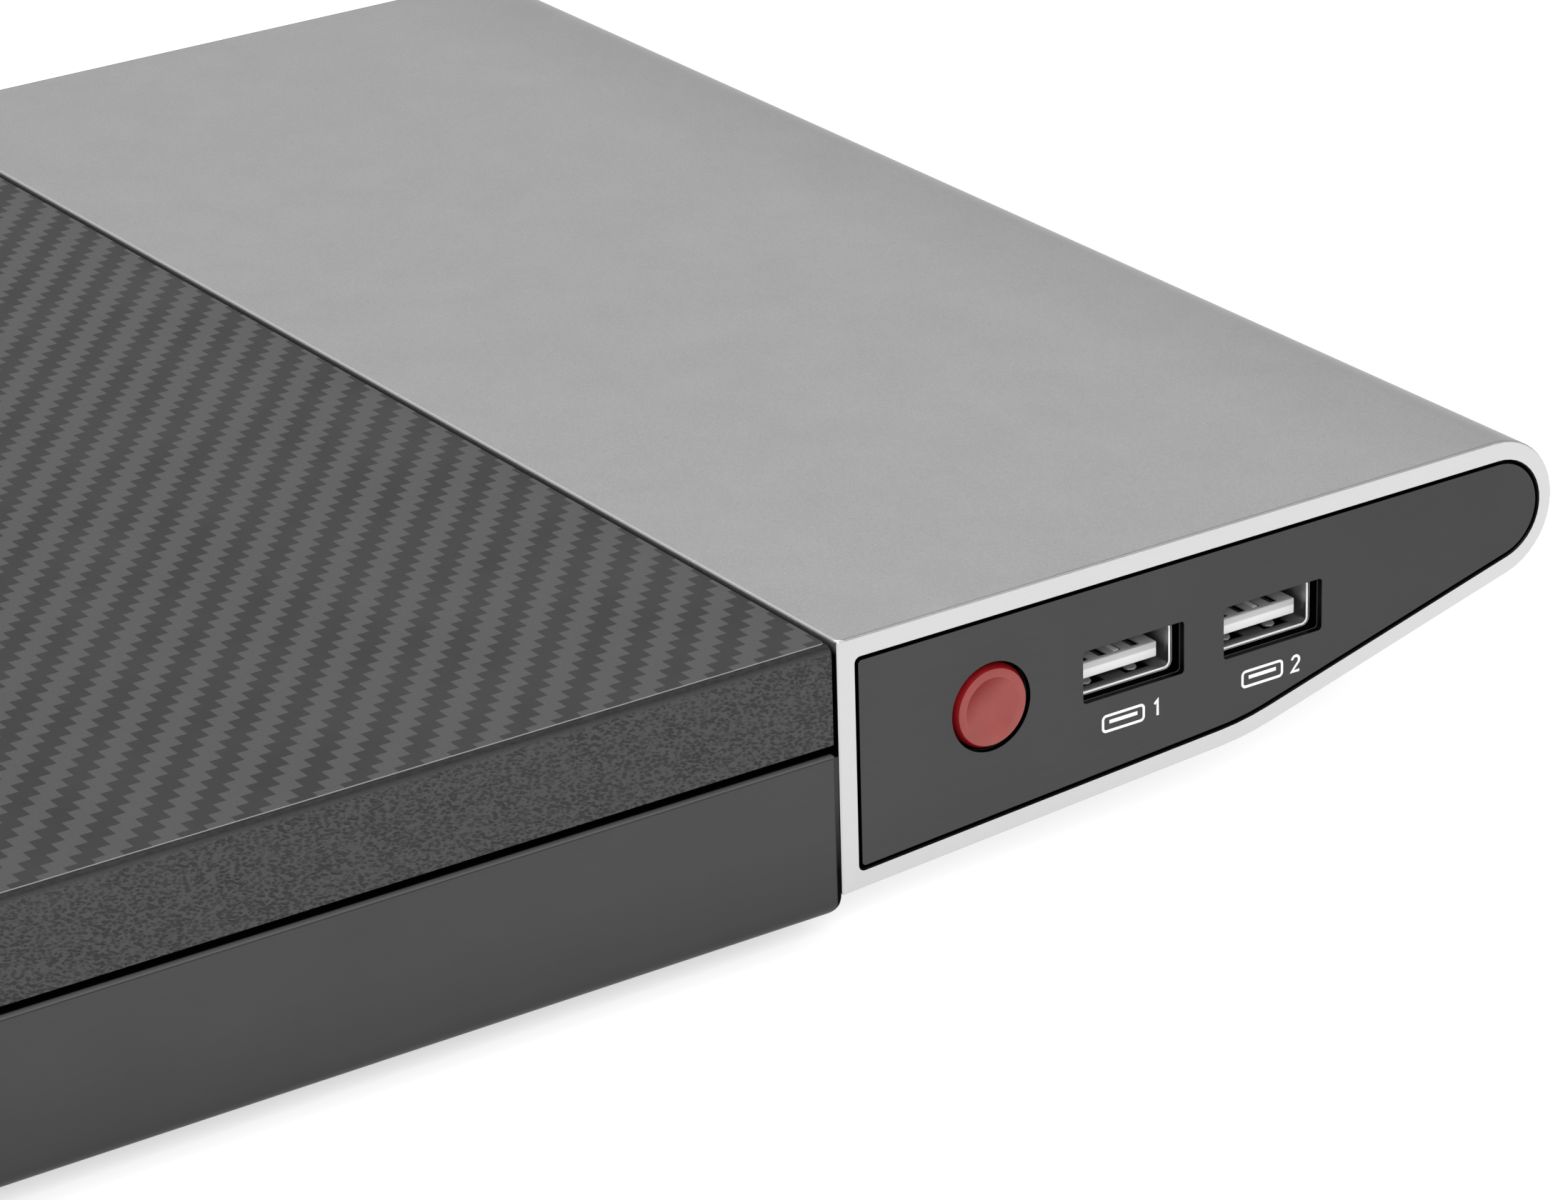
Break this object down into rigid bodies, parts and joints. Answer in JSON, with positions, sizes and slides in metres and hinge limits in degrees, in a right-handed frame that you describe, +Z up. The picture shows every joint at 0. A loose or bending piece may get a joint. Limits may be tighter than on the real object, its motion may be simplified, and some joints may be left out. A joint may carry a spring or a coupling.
{
  "type": "dvr recorder",
  "caption": "Low desktop video recorder: wedge aluminium fascia with an end power button and data ports, on a black sheet-metal chassis holding a drive, boards, rear connectors and a fan.",
  "frame": {"origin": "centre of the object's footprint, on the surface that its feet stand on", "axes": "+Z up, -Y towards the fascia's nose (front), +X to the right seen from the front"},
  "size_m": [0.2501, 0.3092, 0.0404],
  "materials": {
    "satin_aluminium": "bead blasted, clear anodised",
    "brushed_dark": "fine brushed, dark anodised",
    "cover_paint": "textured powder coat",
    "tray_paint": "smooth satin powder coat",
    "carbon_film": "embossed twill pattern",
    "button_red": "moulded",
    "black_plastic": "moulded",
    "white_plastic": "moulded",
    "green_plastic": "moulded",
    "blue_plastic": "moulded",
    "port_plating": "bright nickel plate",
    "gold_contact": "gold flash",
    "board_green": "solder mask over glass epoxy",
    "chip_black": "moulded epoxy",
    "sink_black": "black anodised",
    "capacitor_can": "sleeved can",
    "steel_bright": "zinc plated",
    "screw_black": "black zinc plated",
    "drive_casting": "die cast",
    "drive_lid": "pressed stainless",
    "foot_rubber": "moulded",
    "lead_black": "extruded sleeve",
    "lead_red": "extruded sleeve"
  },
  "bodies": {
    "recorder": {"fascia_extrusion": "satin_aluminium", "left_end_plate": "brushed_dark", "right_end_plate": "brushed_dark", "left_end_carrier": "black_plastic", "right_end_carrier": "black_plastic", "end_carrier_screws": "steel_bright", "fascia_screws": "steel_bright", "power_switch_body": "black_plastic", "side_port_board": "board_green", "side_board_screws": "steel_bright", "side_port_shells": "port_plating", "side_port_tongues": "white_plastic", "side_port_contacts": "steel_bright", "side_board_lead": "lead_black", "base_tray": "tray_paint", "top_cover": "cover_paint", "cover_film": "carbon_film", "cover_screws": "screw_black", "rubber_feet": "foot_rubber", "foot_screws": "steel_bright", "main_board": "board_green", "board_standoffs": "steel_bright", "board_screws": "steel_bright", "board_chips": "chip_black", "heat_sink": "sink_black", "capacitors": "capacitor_can", "clock_battery_holder": "black_plastic", "clock_battery": "drive_lid", "video_jack_bodies": "port_plating", "video_jack_inserts": "white_plastic", "audio_jacks": "black_plastic", "audio_jack_rings": "port_plating", "audio_jack_sleeves": "white_plastic", "analogue_display_port": "port_plating", "analogue_port_insert": "blue_plastic", "analogue_port_posts": "steel_bright", "digital_display_port": "port_plating", "digital_port_tongue": "black_plastic", "rear_port_shell": "port_plating", "rear_port_tongue": "white_plastic", "network_socket": "black_plastic", "network_contacts": "gold_contact", "terminal_block": "green_plastic", "power_jack": "black_plastic", "power_jack_pin": "steel_bright", "hard_drive_casting": "drive_casting", "hard_drive_lid": "drive_lid", "hard_drive_board": "board_green", "drive_spacers": "foot_rubber", "drive_screws": "screw_black", "lead_headers": "white_plastic", "drive_plugs": "black_plastic", "drive_data_lead": "lead_red", "drive_power_lead": "lead_black", "fan_frame": "black_plastic", "fan_screws": "screw_black", "fan_lead": "lead_black"},
    "power_button": {"power_button_cap": "button_red", "power_switch_plunger": "black_plastic"},
    "fan_rotor": {"fan_rotor": "black_plastic"}
  },
  "joints": [
    {"name": "power_button_press", "type": "slide", "parent": "recorder", "child": "power_button", "axis": [1, 0, 0], "range_m": [0, 0.001], "stiffness_N_per_m": 600, "springref_m": -0.002},
    {"name": "fan_spin", "type": "hinge", "parent": "recorder", "child": "fan_rotor", "pos_m": [0.099, 0.1386, 0.0186], "axis": [0, 1, 0], "continuous": true}
  ]
}
